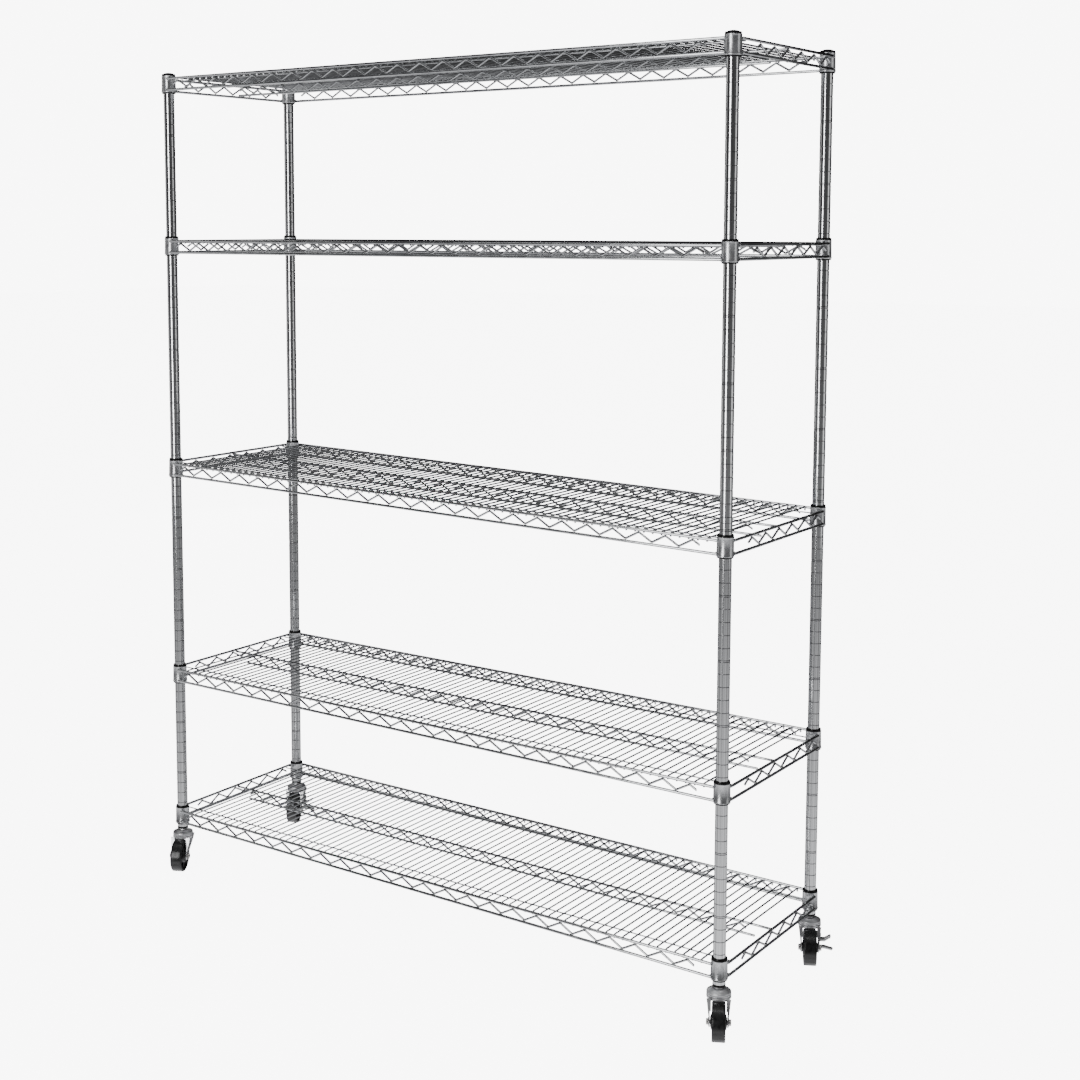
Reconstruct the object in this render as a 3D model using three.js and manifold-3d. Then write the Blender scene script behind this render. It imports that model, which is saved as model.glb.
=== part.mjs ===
// Wire shelving rack on four casters: five welded wire shelves on grooved tubular posts.
// Units are millimetres, +Z is up, +X runs along the shelves and +Y towards the back.
// The origin is on the floor under the centre of the rack's bounding box.
import * as THREE from 'three';
import { mergeVertices } from 'three/addons/utils/BufferGeometryUtils.js';
import Module from 'manifold-3d';

const wasm = await Module();
wasm.setup();

// ---- driving dimensions -------------------------------------------------
const INCH = 25.4;
const GAP = 0.3;                        // running clearance between separate pieces
const SIDES = 10;                       // facets on posts, sleeves, collars and caps

const POST_PITCH_X = 1484;              // post centre to post centre, along the shelf
const POST_PITCH_Y = 417;               // post centre to post centre, front to back
const POST_R = 12.7;
const POST_BORE_R = 11.3;
const POST_BOTTOM = 104;
const POST_HALF = 36 * INCH;            // each post is two screwed halves
const SPIGOT_R = 10.8;
const SPIGOT_LENGTH = 20;

const BOTTOM_SHELF_Z = 146;             // centre line of the lowest shelf's top rod
const SHELF_STEPS = [70, 55, 33.5, 14, 0];   // grooves above the lowest shelf, top shelf first
const TILTED_SHELF = 2;                 // this shelf sits one groove lower on its right-hand posts
const TILT = Math.atan2(INCH, POST_PITCH_X);
const TILT_SHIFT = 12.5 * Math.sin(TILT);    // keeps the middle of its collars on the post axes

const COLLAR_TOP = 7;                   // heights relative to the top rod's centre line
const COLLAR_BOTTOM = -31;
const COLLAR_R = [16.2, 17.3];          // outer radius at the top and at the bottom
const BORE_R = [14.4, 15.4];            // tapered bore that wedges on the sleeve
const SLEEVE_TOP = 8;
const SLEEVE_BOTTOM = -33;
const SLEEVE_R = [14.05, 15.1];
const SLEEVE_BORE_R = 13.05;
const TILTED_SLEEVE_BORE_R = 13.4;
const SLEEVE_SLIT = 0.8;

const RIM_OFFSET = 15;                  // rim rods run this far outside the post centre lines
const RIM_END = 9;                      // and stop this far short of the post centres
const ROD = 6;                          // rim rod thickness
const TRUSS_HEIGHT = 26.5;              // top rod to lower rod
const WEB_WIDTH = 3.6;
const WEB_DEPTH = 4;
const WEB_HALF_PITCH = 59.8;            // rise or fall of the zigzag web
const LONG_WEB_START = 46;              // first bend, from the left-hand post centre
const SIDE_WEB_START = 82;              // first bend, from the front post centre
const CENTRE_ROD = 5;
const CENTRE_TOP = -0.9;                // top face of the centre truss, under the cross wires
const CENTRE_STOP = 40;                 // the centre truss's lower rod stops this far inside the rim
const EDGE_WIRE = 3.4;
const EDGE_WIRE_INSET = 26;             // single lengthwise wires, inside the post centre lines
const CROSS_WIRE = 3.4;
const CROSS_WIRE_PITCH = 59.8;
const CROSS_WIRE_COUNT = 24;

const WHEEL_R = 38;
const WHEEL_WIDTH = 24;
const WHEEL_SIDES = 20;
const HUB_R = 16.4;
const HUB_WIDTH = 33.4;
const AXLE_R = 4;
const TRAIL = 28;                       // axle behind the swivel axis
const TRAIL_ANGLE = THREE.MathUtils.degToRad(-62);   // heading of the trailing wheels
const LEG_INNER = HUB_WIDTH / 2 + 0.4;
const LEG_THICK = 2.3;
const CROWN = [79.4, 82.6];
const CROWN_R = 23.6;
const RACE_BOTTOM = 83;
const STEM_R = 8;
const STEM_TOP = 142;
const PIVOT = [14, 62];                 // brake lever pivot: behind the swivel axis, above the floor

// ---- materials ------------------------------------------------------------
const material = (color, roughness, metalness) =>
  new THREE.MeshStandardMaterial({ color, roughness, metalness });
const CHROME = material(0xd6d8da, 0.16, 1);
const CAST = material(0xc4c6c8, 0.3, 1);
const ZINC = material(0xd2d3d2, 0.25, 1);
const BLACK_PLASTIC = material(0x151515, 0.45, 0);
const RUBBER = material(0x1c1c1d, 0.6, 0);

// ---- solid helpers ----------------------------------------------------------
/** A three.js geometry as a manifold solid, with its shared vertices merged. */
function solid(geometry) {
  const bare = new THREE.BufferGeometry();
  bare.setAttribute('position', geometry.getAttribute('position').clone());
  if (geometry.index) bare.setIndex(geometry.index.clone());
  const merged = mergeVertices(bare, 1e-4);
  const index = merged.index.array;
  const kept = [];
  for (let i = 0; i < index.length; i += 3) {
    const [a, b, c] = [index[i], index[i + 1], index[i + 2]];
    if (a !== b && b !== c && c !== a) kept.push(a, b, c);
  }
  return new wasm.Manifold(new wasm.Mesh({
    numProp: 3,
    vertProperties: new Float32Array(merged.getAttribute('position').array),
    triVerts: new Uint32Array(kept),
  }));
}

/** The solid back as a three.js geometry. */
function geometryOf(shape) {
  const mesh = shape.getMesh();
  const geometry = new THREE.BufferGeometry();
  geometry.setAttribute('position', new THREE.BufferAttribute(mesh.vertProperties, 3));
  geometry.setIndex(new THREE.BufferAttribute(mesh.triVerts, 1));
  geometry.computeVertexNormals();
  return geometry;
}

const join = (shapes) => shapes.reduce((whole, piece) => whole.add(piece));

/** A box between two corners. */
function box(from, to) {
  const size = to.map((value, axis) => value - from[axis]);
  const geometry = new THREE.BoxGeometry(...size);
  geometry.translate(...from.map((value, axis) => value + size[axis] / 2));
  return solid(geometry);
}

/** A body turned about the Z axis from [radius, height] points. */
function turned(points, sides = SIDES) {
  const profile = points.map(([radius, height]) => new THREE.Vector2(radius, height));
  const geometry = new THREE.LatheGeometry(profile, sides);
  geometry.rotateX(Math.PI / 2);
  const shape = solid(geometry);
  if (shape.volume() > 0) return shape;
  const flipped = geometry.index.array;
  for (let i = 0; i < flipped.length; i += 3) {
    [flipped[i], flipped[i + 1]] = [flipped[i + 1], flipped[i]];
  }
  return solid(geometry);
}

/** A flat outline in the XZ plane given a thickness along Y, centred on y. */
function plate(outline, y, thickness, holes = []) {
  const shape = new THREE.Shape(outline.map(([x, z]) => new THREE.Vector2(x, z)));
  for (const [x, z, radius, sides] of holes) {
    const ring = Array.from({ length: sides }, (_, i) => {
      const angle = (-2 * Math.PI * i) / sides;
      return new THREE.Vector2(x + radius * Math.cos(angle), z + radius * Math.sin(angle));
    });
    shape.holes.push(new THREE.Path(ring));
  }
  const geometry = new THREE.ExtrudeGeometry(shape, { depth: thickness, bevelEnabled: false });
  geometry.translate(0, 0, -thickness / 2);
  geometry.rotateX(Math.PI / 2);
  geometry.translate(0, y, 0);
  return solid(geometry);
}

/** A round bar along Y between two ends. */
function barAlongY(x, z, radius, from, to, sides) {
  const geometry = new THREE.CylinderGeometry(radius, radius, to - from, sides);
  geometry.translate(0, (from + to) / 2, 0);
  geometry.rotateY(Math.PI / sides);
  geometry.translate(x, 0, z);
  return solid(geometry);
}

// ---- shelf --------------------------------------------------------------------
/** Outline of a zigzag ribbon through its bends, as one closed polygon in XZ. */
function zigzagOutline(bends, width) {
  const half = (width / 2) * Math.SQRT2;
  const upper = bends.map(([x, z]) => [x, z + half]);
  const lower = bends.map(([x, z]) => [x, z - half]).reverse();
  return [...lower.reverse(), ...upper.reverse()];
}

/** Bends that alternate between the upper and the lower rod. */
function zigzagBends(start, count, pitch, top, bottom) {
  return Array.from({ length: count }, (_, i) => [start + i * pitch, i % 2 ? bottom : top]);
}

/** One truss along X at depth y: upper and lower rods with the zigzag web between them. */
function longTruss(y, halfLengths, rod, topFace, height, web) {
  const topMiddle = topFace - rod / 2;
  const rods = [topMiddle, topMiddle - height].map((z, i) =>
    box([-halfLengths[i], y - rod / 2, z - rod / 2], [halfLengths[i], y + rod / 2, z + rod / 2]));
  const bends = zigzagBends(
    -POST_PITCH_X / 2 + LONG_WEB_START, web.count, web.pitch,
    topMiddle - rod / 2 - 0.6, topMiddle - height + rod / 2 + 0.6);
  return join([...rods, plate(zigzagOutline(bends, WEB_WIDTH), y, WEB_DEPTH)]);
}

/** The truss along Y at one end of the shelf. */
function sideTruss(x) {
  const reach = POST_PITCH_Y / 2 - RIM_END;
  const rods = [0, -TRUSS_HEIGHT].map((z) =>
    box([x - ROD / 2, -reach, z - ROD / 2], [x + ROD / 2, reach, z + ROD / 2]));
  const bends = zigzagBends(
    -POST_PITCH_Y / 2 + SIDE_WEB_START, 6, WEB_HALF_PITCH,
    -ROD / 2 - 0.6, -TRUSS_HEIGHT + ROD / 2 + 0.6);
  const web = plate(zigzagOutline(bends, WEB_WIDTH), 0, WEB_DEPTH).rotate([0, 0, 90]);
  return join([...rods, web.translate([x, 0, 0])]);
}

/** Cross wires with flat tops level with the rim rods, let into the rods at both ends. */
function crossWires() {
  const reach = POST_PITCH_Y / 2 + RIM_OFFSET - ROD / 2 + 1;
  const top = ROD / 2 - 0.6;
  const section = [[-CROSS_WIRE / 2, top], [0, top - 2.9], [CROSS_WIRE / 2, top]];
  const first = (-(CROSS_WIRE_COUNT - 1) * CROSS_WIRE_PITCH) / 2;
  return Array.from({ length: CROSS_WIRE_COUNT }, (_, i) => {
    const x = first + i * CROSS_WIRE_PITCH;
    return plate(section.map(([dx, z]) => [x + dx, z]), 0, 2 * reach);
  });
}

/** Rim rods, webs, centre truss and wires of one shelf, without the corner collars. */
function deck() {
  const rimY = POST_PITCH_Y / 2 + RIM_OFFSET;
  const rimX = POST_PITCH_X / 2 + RIM_OFFSET;
  const longWeb = { count: 24, pitch: WEB_HALF_PITCH };
  const centreWeb = { count: 12, pitch: 2 * WEB_HALF_PITCH };
  const rimReach = POST_PITCH_X / 2 - RIM_END;
  const insideX = rimX - ROD / 2 + 1;
  const edgeTop = CENTRE_TOP;
  const edgeY = POST_PITCH_Y / 2 - EDGE_WIRE_INSET;
  return [
    longTruss(-rimY, [rimReach, rimReach], ROD, ROD / 2, TRUSS_HEIGHT, longWeb),
    longTruss(rimY, [rimReach, rimReach], ROD, ROD / 2, TRUSS_HEIGHT, longWeb),
    longTruss(0, [insideX, insideX - CENTRE_STOP], CENTRE_ROD, CENTRE_TOP, TRUSS_HEIGHT - 3, centreWeb),
    sideTruss(-rimX),
    sideTruss(rimX),
    ...[-edgeY, edgeY].map((y) =>
      box([-insideX, y - EDGE_WIRE / 2, edgeTop - EDGE_WIRE], [insideX, y + EDGE_WIRE / 2, edgeTop])),
    ...crossWires(),
  ];
}

/** A whole welded shelf about its own middle, at the height of its top rods. */
function shelfSolid() {
  const collars = [];
  const bores = [];
  const slope = (BORE_R[1] - BORE_R[0]) / (COLLAR_TOP - COLLAR_BOTTOM);
  for (const [x, y] of postCentres()) {
    collars.push(turned([
      [0, COLLAR_BOTTOM], [COLLAR_R[1], COLLAR_BOTTOM], [COLLAR_R[0], COLLAR_TOP], [0, COLLAR_TOP],
    ]).translate([x, y, 0]));
    bores.push(turned([
      [0, COLLAR_BOTTOM - 2], [BORE_R[1] + 2 * slope, COLLAR_BOTTOM - 2],
      [BORE_R[0] - 2 * slope, COLLAR_TOP + 2], [0, COLLAR_TOP + 2],
    ]).translate([x, y, 0]));
  }
  return join([...deck(), ...collars]).subtract(join(bores));
}

/** Split plastic sleeve, about the post centre line and its shelf's height. */
function sleeveSolid(boreRadius) {
  const ring = turned([
    [boreRadius, SLEEVE_BOTTOM], [SLEEVE_R[1], SLEEVE_BOTTOM],
    [SLEEVE_R[0], SLEEVE_TOP], [boreRadius, SLEEVE_TOP], [boreRadius, SLEEVE_BOTTOM],
  ]);
  const slit = box([0, -SLEEVE_SLIT / 2, SLEEVE_BOTTOM - 1], [20, SLEEVE_SLIT / 2, SLEEVE_TOP + 1]);
  return ring.subtract(slit.rotate([0, 0, -90]));
}

// ---- posts --------------------------------------------------------------------
/** Post centres in the order front left, front right, back left, back right. */
function postCentres() {
  return [-1, 1].flatMap((side) =>
    [-1, 1].map((end) => [(end * POST_PITCH_X) / 2, (side * POST_PITCH_Y) / 2]));
}

function lowerPost() {
  const top = POST_HALF - GAP / 2;
  return turned([[POST_BORE_R, 0], [POST_R, 0], [POST_R, top], [POST_BORE_R, top], [POST_BORE_R, 0]]);
}

/** Upper half with the solid spigot that plugs into the lower half. */
function upperPost() {
  const base = GAP / 2;
  return turned([
    [0, -SPIGOT_LENGTH], [SPIGOT_R, -SPIGOT_LENGTH], [SPIGOT_R, base], [POST_R, base],
    [POST_R, POST_HALF], [POST_BORE_R, POST_HALF], [POST_BORE_R, 12], [0, 12],
  ]);
}

/** Domed end cap pressed into the top of a post. */
function capSolid() {
  return turned([
    [0, -15], [SPIGOT_R - 0.2, -15], [SPIGOT_R - 0.2, GAP], [POST_R, GAP],
    [POST_R, 2.2], [8, 5.4], [0, 6.2],
  ]);
}

/** Bushing that holds the caster stem in the bottom of a post. */
function bushingSolid() {
  const bore = STEM_R + GAP + 0.2;
  return turned([
    [bore, -4.5], [POST_R + 0.4, -4.5], [POST_R + 0.4, -GAP], [SPIGOT_R, -GAP],
    [SPIGOT_R, 26], [bore, 26], [bore, -4.5],
  ]);
}

// ---- caster -------------------------------------------------------------------
// A caster is built trailing along +X with its swivel axis on Z; its axle lies along Y.
/** Stem with the upper ball race and the rivet that carries the fork. */
function stemSolid() {
  return turned([
    [0, 75.5], [8, 75.5], [8, CROWN[0] - 0.4], [5, CROWN[0] - 0.4], [5, RACE_BOTTOM],
    [CROWN_R, RACE_BOTTOM], [CROWN_R, 90.5], [14, 96], [STEM_R, 96], [STEM_R, STEM_TOP], [0, STEM_TOP],
  ], 12);
}

/** Pressed fork: crown disc and two tapering legs. */
function forkSolid(withBrake) {
  const crown = turned([
    [5.5, CROWN[0]], [CROWN_R, CROWN[0]], [CROWN_R, CROWN[1]], [5.5, CROWN[1]], [5.5, CROWN[0]],
  ], 12);
  const outline = [
    [-13, CROWN[1] - 0.5], [-13, 76], [19, 40], [20, 31], [28, 27], [36, 31], [37.5, 40],
    [22, 76], [22, CROWN[1] - 0.5],
  ];
  const middle = LEG_INNER + LEG_THICK / 2;
  const axleHole = [TRAIL, WHEEL_R, AXLE_R + 0.5, 8];
  const pivotHole = [...PIVOT, 3.4, 8];
  const legs = [1, -1].map((side) =>
    plate(outline, side * middle, LEG_THICK, side > 0 && withBrake ? [axleHole, pivotHole] : [axleHole]));
  return join([crown, ...legs]);
}

/** Wheel with its hub boss, bored for the axle; one facet lies on the floor. */
function wheelSolid() {
  const tread = barAlongY(TRAIL, WHEEL_R, WHEEL_R / Math.cos(Math.PI / WHEEL_SIDES),
    -WHEEL_WIDTH / 2, WHEEL_WIDTH / 2, WHEEL_SIDES);
  const hub = barAlongY(TRAIL, WHEEL_R, HUB_R, -HUB_WIDTH / 2, HUB_WIDTH / 2, 10);
  const bore = barAlongY(TRAIL, WHEEL_R, AXLE_R + 0.5, -HUB_WIDTH, HUB_WIDTH, 8);
  return tread.add(hub).subtract(bore);
}

/** Axle bolt with its hexagon head and nut outside the fork legs. */
function axleSolid() {
  const outside = LEG_INNER + LEG_THICK + GAP;
  return join([
    barAlongY(TRAIL, WHEEL_R, AXLE_R, -outside - 1, outside + 1, 8),
    barAlongY(TRAIL, WHEEL_R, 7, -outside - 4.4, -outside, 6),
    barAlongY(TRAIL, WHEEL_R, 7, outside, outside + 4.4, 6),
  ]);
}

/** Stamped brake lever: side plate, two foot ears, pivot rivet and the shoe behind the tread. */
function brakeSolid() {
  const inside = LEG_INNER + LEG_THICK + 0.6;
  const side = plate([
    [-19, 46], [-19, 57], [2, 68], [15, 68], [16.5, 54], [12.5, 29], [1, 29], [-1, 44],
  ], inside + 1, 2);
  const [px, pz] = PIVOT;
  return join([
    side,
    box([0, inside + 1, 55], [15, inside + 22, 57]),
    box([2, inside + 1, 29.5], [12, inside + 22, 31.5]),
    box([-18.8, -9, 46.4], [-16.2, inside + 1, 56]),
    barAlongY(px, pz, 3, 15.6, inside + 1, 8),
    barAlongY(px, pz, 5, 14, 16, 8),
  ]);
}

// ---- assembly -----------------------------------------------------------------
const rack = new THREE.Group();

/** One named piece of the rack, placed by its own position and turn. */
function addPiece(name, shape, finish, position = [0, 0, 0], rotation = [0, 0, 0]) {
  const mesh = new THREE.Mesh(geometryOf(shape), finish);
  mesh.name = name;
  mesh.position.set(...position);
  mesh.rotation.set(...rotation);
  rack.add(mesh);
}

const CORNERS = ['front_left', 'front_right', 'back_left', 'back_right'];
const shelf = shelfSolid();
const sleeve = sleeveSolid(SLEEVE_BORE_R);
const tiltedSleeve = sleeveSolid(TILTED_SLEEVE_BORE_R);
const parts = {
  upper: upperPost(), lower: lowerPost(), cap: capSolid(), bushing: bushingSolid(),
  stem: stemSolid(), fork: forkSolid(false), brakedFork: forkSolid(true), wheel: wheelSolid(),
  axle: axleSolid(), brake: brakeSolid(),
};

SHELF_STEPS.forEach((steps, level) => {
  const z = BOTTOM_SHELF_Z + steps * INCH;
  const tilt = level === TILTED_SHELF ? TILT : 0;
  const shift = tilt ? TILT_SHIFT : 0;
  addPiece(`shelf_${level + 1}`, shelf, CHROME, [shift, 0, z], [0, tilt, 0]);
  postCentres().forEach(([x, y], corner) => {
    const along = [shift + x * Math.cos(tilt), y, z - x * Math.sin(tilt)];
    addPiece(`sleeve_${level + 1}_${CORNERS[corner]}`, tilt ? tiltedSleeve : sleeve,
      BLACK_PLASTIC, along, [0, tilt, 0]);
  });
});

postCentres().forEach(([x, y], corner) => {
  const name = CORNERS[corner];
  addPiece(`post_lower_${name}`, parts.lower, CHROME, [x, y, POST_BOTTOM]);
  addPiece(`post_upper_${name}`, parts.upper, CHROME, [x, y, POST_BOTTOM + POST_HALF]);
  addPiece(`cap_${name}`, parts.cap, BLACK_PLASTIC, [x, y, POST_BOTTOM + 2 * POST_HALF]);
  addPiece(`bushing_${name}`, parts.bushing, BLACK_PLASTIC, [x, y, POST_BOTTOM]);
  const braked = y > 0;
  const turn = [0, 0, TRAIL_ANGLE];
  addPiece(`caster_stem_${name}`, parts.stem, ZINC, [x, y, 0], turn);
  addPiece(`caster_fork_${name}`, braked ? parts.brakedFork : parts.fork, ZINC, [x, y, 0], turn);
  addPiece(`caster_wheel_${name}`, parts.wheel, RUBBER, [x, y, 0], turn);
  addPiece(`caster_axle_${name}`, parts.axle, CAST, [x, y, 0], turn);
  if (braked) addPiece(`caster_brake_${name}`, parts.brake, ZINC, [x, y, 0], turn);
});

// The trailing wheels reach past the shelves on the front, so the rack is centred on its box.
rack.updateMatrixWorld(true);
const bounds = new THREE.Box3().setFromObject(rack, true);
const centre = bounds.getCenter(new THREE.Vector3());
rack.children.forEach((mesh) => mesh.position.sub(new THREE.Vector3(centre.x, centre.y, 0)));

export default rack;
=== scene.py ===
"""Looks of a chrome wire shelving rack on casters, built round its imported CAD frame."""

import logging
import math
from dataclasses import dataclass, field
from enum import Enum
from typing import Callable, Iterable, Sequence

import bmesh
import bpy
from mathutils import Matrix, Quaternion, Vector


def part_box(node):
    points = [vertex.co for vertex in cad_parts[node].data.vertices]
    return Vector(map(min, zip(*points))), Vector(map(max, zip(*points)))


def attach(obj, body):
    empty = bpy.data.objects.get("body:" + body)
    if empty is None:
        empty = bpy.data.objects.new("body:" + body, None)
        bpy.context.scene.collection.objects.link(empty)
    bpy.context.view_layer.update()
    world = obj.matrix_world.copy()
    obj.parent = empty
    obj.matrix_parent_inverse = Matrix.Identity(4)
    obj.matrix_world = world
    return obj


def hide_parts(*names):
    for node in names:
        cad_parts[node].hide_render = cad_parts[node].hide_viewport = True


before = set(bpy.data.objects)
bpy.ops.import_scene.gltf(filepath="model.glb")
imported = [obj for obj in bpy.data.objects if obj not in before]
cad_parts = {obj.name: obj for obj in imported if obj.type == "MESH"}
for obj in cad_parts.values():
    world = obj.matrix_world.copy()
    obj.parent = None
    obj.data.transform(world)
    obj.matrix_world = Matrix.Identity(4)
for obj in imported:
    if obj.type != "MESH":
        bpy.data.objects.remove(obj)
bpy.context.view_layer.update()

MM = 0.001
INCH = 25.4
CORNERS = ("front_left", "front_right", "back_left", "back_right")
SHELVES = (1, 2, 3, 4, 5)
PIT_SIZE = 1.7      # spacing of the dull pits on cast metal
PIT_SHADE = 0.35    # tone of a pit, against the darkest tone around it
Piece = bpy.types.Object
Face = bmesh.types.BMFace
log = logging.getLogger("rack")


class Slot(Enum):
    """Material slot names of the record."""

    SHELF = "shelf_chrome"
    POST = "post_chrome"
    CAP = "cap_plastic"
    SLEEVE = "sleeve_plastic"
    BUSHING = "bushing_plastic"
    WHEEL = "wheel_rubber"
    BOLT = "bolt_steel"
    BRAKE = "brake_steel"
    CASTER = "caster_zinc"


class Bands(Enum):
    """How a finish's tone runs over a piece."""

    CLOUDY = (1.0, 1.0, 1.0)
    DRAWN_UPRIGHT = (2.0, 2.0, 0.15)


# ---- finishes ---------------------------------------------------------------
def add_node(
    nodes: bpy.types.Nodes, kind: str, values: dict[str | int, object] | None = None
) -> bpy.types.Node:
    """Add a shader node and set its sockets.

    Args:
        nodes: Nodes of the tree.
        kind: Type of the node, without its leading "ShaderNode".
        values: Constant value of each socket, by name or number.

    Returns:
        The new node.
    """
    made = nodes.new(f"ShaderNode{kind}")
    for socket, value in (values or {}).items():
        made.inputs[socket].default_value = value
    return made


def mapped(
    nodes: bpy.types.Nodes, low: float, high: float, start: float, end: float
) -> bpy.types.Node:
    """Add a node that maps low..high on to start..end."""
    return add_node(nodes, "MapRange", {
        "From Min": low, "From Max": high, "To Min": start, "To Max": end})


@dataclass(frozen=True)
class Finish:
    """A surface with its tone, gloss and fine relief varied by solid noise."""

    name: str
    light: tuple[float, float, float]
    dark: tuple[float, float, float]
    roughness: tuple[float, float]
    metallic: float
    patch_size: float = 30.0
    grain_size: float = 1.2
    grain_height: float = 0.01
    bands: Bands = Bands.CLOUDY
    speckle: float = 0.0
    mirror: float = 0.5

    def build(self) -> bpy.types.Material:
        """Make the material once and give it back each time.

        Returns:
            The procedural material of this finish.
        """
        known = bpy.data.materials.get(self.name)
        if known:
            return known
        made = bpy.data.materials.new(self.name)
        made.use_nodes = True
        nodes, links = made.node_tree.nodes, made.node_tree.links
        shader = nodes["Principled BSDF"]
        shader.inputs["Metallic"].default_value = self.metallic
        shader.inputs["Specular IOR Level"].default_value = self.mirror
        place = add_node(nodes, "TexCoord")
        stretch = add_node(nodes, "Mapping", {"Scale": self.bands.value})
        links.new(place.outputs["Object"], stretch.inputs["Vector"])
        patches = self._noise(nodes, self.patch_size, 3.0)
        grain = self._noise(nodes, self.grain_size, 2.0)
        for noise in (patches, grain):
            links.new(stretch.outputs["Vector"], noise.inputs["Vector"])

        tone = nodes.new("ShaderNodeMix")
        tone.data_type = "RGBA"
        tone.inputs["A"].default_value = (*self.dark, 1.0)
        tone.inputs["B"].default_value = (*self.light, 1.0)
        spread = mapped(nodes, 0.35, 0.65, 0.0, 1.0)
        links.new(patches.outputs["Fac"], spread.inputs["Value"])
        links.new(spread.outputs["Result"], tone.inputs["Factor"])
        coloured = tone.outputs["Result"]
        if self.speckle:
            coloured = self._speckled(nodes, links, place, coloured)
        links.new(coloured, shader.inputs["Base Color"])

        gloss = mapped(nodes, 0.3, 0.7, *self.roughness)
        links.new(patches.outputs["Fac"], gloss.inputs["Value"])
        links.new(gloss.outputs["Result"], shader.inputs["Roughness"])

        relief = add_node(nodes, "Bump", {"Strength": 0.6, "Distance": self.grain_height * MM})
        links.new(grain.outputs["Fac"], relief.inputs["Height"])
        links.new(relief.outputs["Normal"], shader.inputs["Normal"])
        return made

    def _speckled(
        self,
        nodes: bpy.types.Nodes,
        links: bpy.types.NodeLinks,
        place: bpy.types.Node,
        coloured: bpy.types.NodeSocket,
    ) -> bpy.types.NodeSocket:
        """Scatter small dull pits over the tone.

        Args:
            nodes: Nodes of the material.
            links: Links of the material.
            place: Texture coordinate node.
            coloured: Tone before the pits.

        Returns:
            The tone with its pits.
        """
        pits = add_node(nodes, "TexVoronoi", {"Scale": 1 / (PIT_SIZE * MM)})
        links.new(place.outputs["Object"], pits.inputs["Vector"])
        depth = mapped(nodes, 0.12, 0.42, self.speckle, 0.0)
        links.new(pits.outputs["Distance"], depth.inputs["Value"])
        pitted = nodes.new("ShaderNodeMix")
        pitted.data_type = "RGBA"
        pitted.inputs["B"].default_value = (*[c * PIT_SHADE for c in self.dark], 1.0)
        links.new(coloured, pitted.inputs["A"])
        links.new(depth.outputs["Result"], pitted.inputs["Factor"])
        return pitted.outputs["Result"]

    @staticmethod
    def _noise(nodes: bpy.types.Nodes, size: float, detail: float) -> bpy.types.Node:
        """Add a noise node whose patches have a size in millimetres."""
        return add_node(nodes, "TexNoise", {"Scale": 1 / (size * MM), "Detail": detail})


WIRE_CHROME = Finish(
    "wire_chrome", (0.52, 0.53, 0.54), (0.38, 0.385, 0.395), (0.12, 0.2), 1.0, 22.0, 1.0, 0.002
)
POST_CHROME = Finish(
    "post_chrome", (0.8, 0.81, 0.82), (0.68, 0.69, 0.71), (0.045, 0.085), 1.0, 60.0, 1.5, 0.0008,
    bands=Bands.DRAWN_UPRIGHT,
)
COLLAR_CHROME = Finish(
    "collar_chrome", (0.7, 0.71, 0.72), (0.56, 0.57, 0.58), (0.22, 0.32), 0.9, 14.0, 1.1, 0.012,
    speckle=0.6,
)
# Painted shade: a darker, rougher chrome laid on the floors of the post grooves, where shade falls.
GROOVE_SHADE_CHROME = Finish(
    "groove_painted_shade_chrome", (0.4, 0.4, 0.41), (0.24, 0.24, 0.25), (0.2, 0.34), 1.0, 9.0
)
WELD_CHROME = Finish(
    "weld_chrome", (0.42, 0.43, 0.44), (0.26, 0.26, 0.27), (0.2, 0.4), 1.0, 4.0, 0.9, 0.02
)
ZINC = Finish(
    "bright_zinc", (0.76, 0.77, 0.78), (0.66, 0.66, 0.67), (0.24, 0.34), 0.8, 26.0, 0.8, 0.002
)
BOLT_ZINC = Finish(
    "bolt_zinc", (0.62, 0.61, 0.58), (0.42, 0.41, 0.4), (0.2, 0.34), 1.0, 6.0, 0.6, 0.008
)
BLACK_PLASTIC = Finish(
    "black_plastic", (0.01, 0.01, 0.0105), (0.005, 0.005, 0.0055), (0.26, 0.4), 0.0, 16.0, 0.5,
    0.01,
    mirror=0.16,
)
HARD_RUBBER = Finish(
    "hard_rubber", (0.012, 0.012, 0.0125), (0.006, 0.006, 0.0065), (0.22, 0.36), 0.0, 9.0, 0.7,
    0.02,
    mirror=0.5,
)


# ---- bench: how pieces are made ---------------------------------------------
def vec(x: float, y: float, z: float) -> Vector:
    """A point given in millimetres, in metres."""
    return Vector((x, y, z)) * MM


def clear_bench() -> None:
    """Leave edit mode and select nothing."""
    active = bpy.context.view_layer.objects.active
    if active and active.mode != "OBJECT":
        bpy.ops.object.mode_set(mode="OBJECT")
    bpy.ops.object.select_all(action="DESELECT")


def take_up(piece: Piece) -> None:
    """Make one piece the only selected one and the active one."""
    clear_bench()
    piece.select_set(True)
    bpy.context.view_layer.objects.active = piece


def pick_all() -> None:
    """Select the whole mesh in edit mode."""
    bpy.ops.mesh.select_all(action="SELECT")


def pull(step: Vector) -> None:
    """Extrude what is selected in edit mode by a step, in metres."""
    bpy.ops.mesh.extrude_region_move(TRANSFORM_OT_translate={"value": step})


def pick_faces(piece: Piece, wanted: Callable[[Face], bool]) -> int:
    """Select in edit mode the faces that pass a test, and nothing else.

    Args:
        piece: The piece in edit mode.
        wanted: Test of a face by its place, normal or corners.

    Returns:
        How many faces were selected.
    """
    bpy.ops.mesh.select_mode(type="FACE")
    bpy.ops.mesh.select_all(action="DESELECT")
    mesh = bmesh.from_edit_mesh(piece.data)
    found = [face for face in mesh.faces if wanted(face)]
    for face in found:
        face.select_set(True)
    bmesh.update_edit_mesh(piece.data)
    return len(found)


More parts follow.
